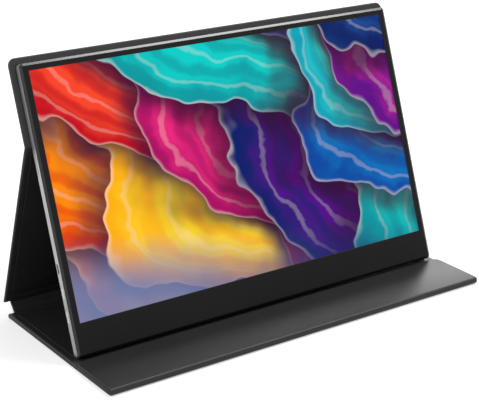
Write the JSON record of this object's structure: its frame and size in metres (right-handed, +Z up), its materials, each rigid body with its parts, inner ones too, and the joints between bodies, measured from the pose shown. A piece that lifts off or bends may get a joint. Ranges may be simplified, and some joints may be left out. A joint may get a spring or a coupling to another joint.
{
  "type": "portable monitor",
  "caption": "Thin portable monitor leaning back in its dark folding cover, with a picture on the screen, sockets and speaker holes in its silver side",
  "frame": {"origin": "middle of the footprint, on the table", "axes": "+X to the right seen from the front, +Y to the back, +Z up"},
  "size_m": [0.3674, 0.1688, 0.2196],
  "materials": {
    "silver_metal": "fine bead-blasted silver metal",
    "black_frame": "satin black moulded plastic",
    "foam": "black foam tape",
    "screen_film": "semi-gloss display film showing a picture",
    "cell_glass": "clear glass",
    "clear_film": "clear acrylic film",
    "white_film": "white diffusing film",
    "white_plastic": "white moulded plastic",
    "plain_steel": "plain rolled steel",
    "circuit_board": "green solder mask",
    "ribbon": "amber flat cable",
    "socket_metal": "bright plated metal",
    "black_plastic": "black moulded plastic",
    "magnet_plating": "nickel plated magnet",
    "cover_leather": "smooth dark grey coated cover cloth with a fine grain",
    "stiff_board": "grey pressed board",
    "cover_lining": "smooth dark grey lining with a fine grain"
  },
  "bodies": {
    "base": {"base_skin": "cover_leather", "base_board": "stiff_board", "base_lining": "cover_lining"},
    "front_edge": {"front_fold_band": "cover_leather"},
    "flap": {"flap_skin": "cover_leather", "flap_board": "stiff_board", "flap_lining": "cover_lining"},
    "spine": {"spine_wrap": "cover_leather", "spine_board": "stiff_board"},
    "strut": {"strut_skin": "cover_leather", "strut_board": "stiff_board", "strut_lining": "cover_lining", "back_fold_band": "cover_leather"},
    "screen": {"rear_shell": "silver_metal", "front_bezel": "black_frame", "bezel_tape": "foam", "front_polariser": "screen_film", "lcd_cell": "cell_glass", "prism_film": "clear_film", "diffuser_film": "white_film", "light_guide": "clear_film", "reflector_sheet": "white_film", "led_strip": "white_plastic", "panel_frame": "white_plastic", "panel_tray": "plain_steel", "timing_board": "circuit_board", "driver_board": "circuit_board", "button_board": "circuit_board", "panel_ribbon": "ribbon", "board_screws": "plain_steel", "usb_c_port_upper": "socket_metal", "usb_c_port_lower": "socket_metal", "mini_hdmi_port": "socket_metal", "headphone_jack": "black_plastic", "left_speaker": "black_plastic", "right_speaker": "black_plastic", "menu_wheel_pin": "plain_steel", "steel_plates": "plain_steel", "back_skin": "cover_leather", "back_board": "stiff_board", "back_lining": "cover_lining", "cover_magnets": "magnet_plating"},
    "power_button": {"power_button": "silver_metal"},
    "menu_wheel": {"menu_wheel": "black_plastic"}
  },
  "joints": [
    {"name": "base_fold", "type": "hinge", "parent": "base", "child": "spine", "pos_m": [0, 0.07738, 0.0026], "axis": [-1, 0, 0], "range_deg": [0, 50.5]},
    {"name": "spine_fold", "type": "hinge", "parent": "spine", "child": "strut", "pos_m": [0, 0.08336, 0.00985], "axis": [-1, 0, 0], "range_deg": [0, 56.3]},
    {"name": "back_fold", "type": "hinge", "parent": "strut", "child": "screen", "pos_m": [0, 0.03648, 0.1561], "axis": [-1, 0, 0], "range_deg": [-37.7, 0]},
    {"name": "front_fold", "type": "hinge", "parent": "base", "child": "front_edge", "pos_m": [0, -0.08361, 0.00185], "axis": [1, 0, 0], "range_deg": [0, 90]},
    {"name": "flap_fold", "type": "hinge", "parent": "front_edge", "child": "flap", "pos_m": [0, -0.08361, 0.00505], "axis": [1, 0, 0], "range_deg": [0, 90]},
    {"name": "power_press", "type": "slide", "parent": "screen", "child": "power_button", "axis": [-1, 0, 0], "range_m": [0, 0.0004], "stiffness_N_per_m": 1500, "springref_m": -0.0005},
    {"name": "menu_wheel_turn", "type": "hinge", "parent": "screen", "child": "menu_wheel", "pos_m": [0.1743, -0.01002, 0.0468], "axis": [0, -0.9342, 0.3567], "range_deg": [-20, 20], "stiffness_Nm_per_rad": 0.02}
  ],
  "couplings": [
    {"joint": "spine_fold", "follows": "base_fold", "ratio": 1.1143},
    {"joint": "back_fold", "follows": "base_fold", "ratio": -0.74601},
    {"joint": "flap_fold", "follows": "front_fold", "ratio": 1}
  ]
}
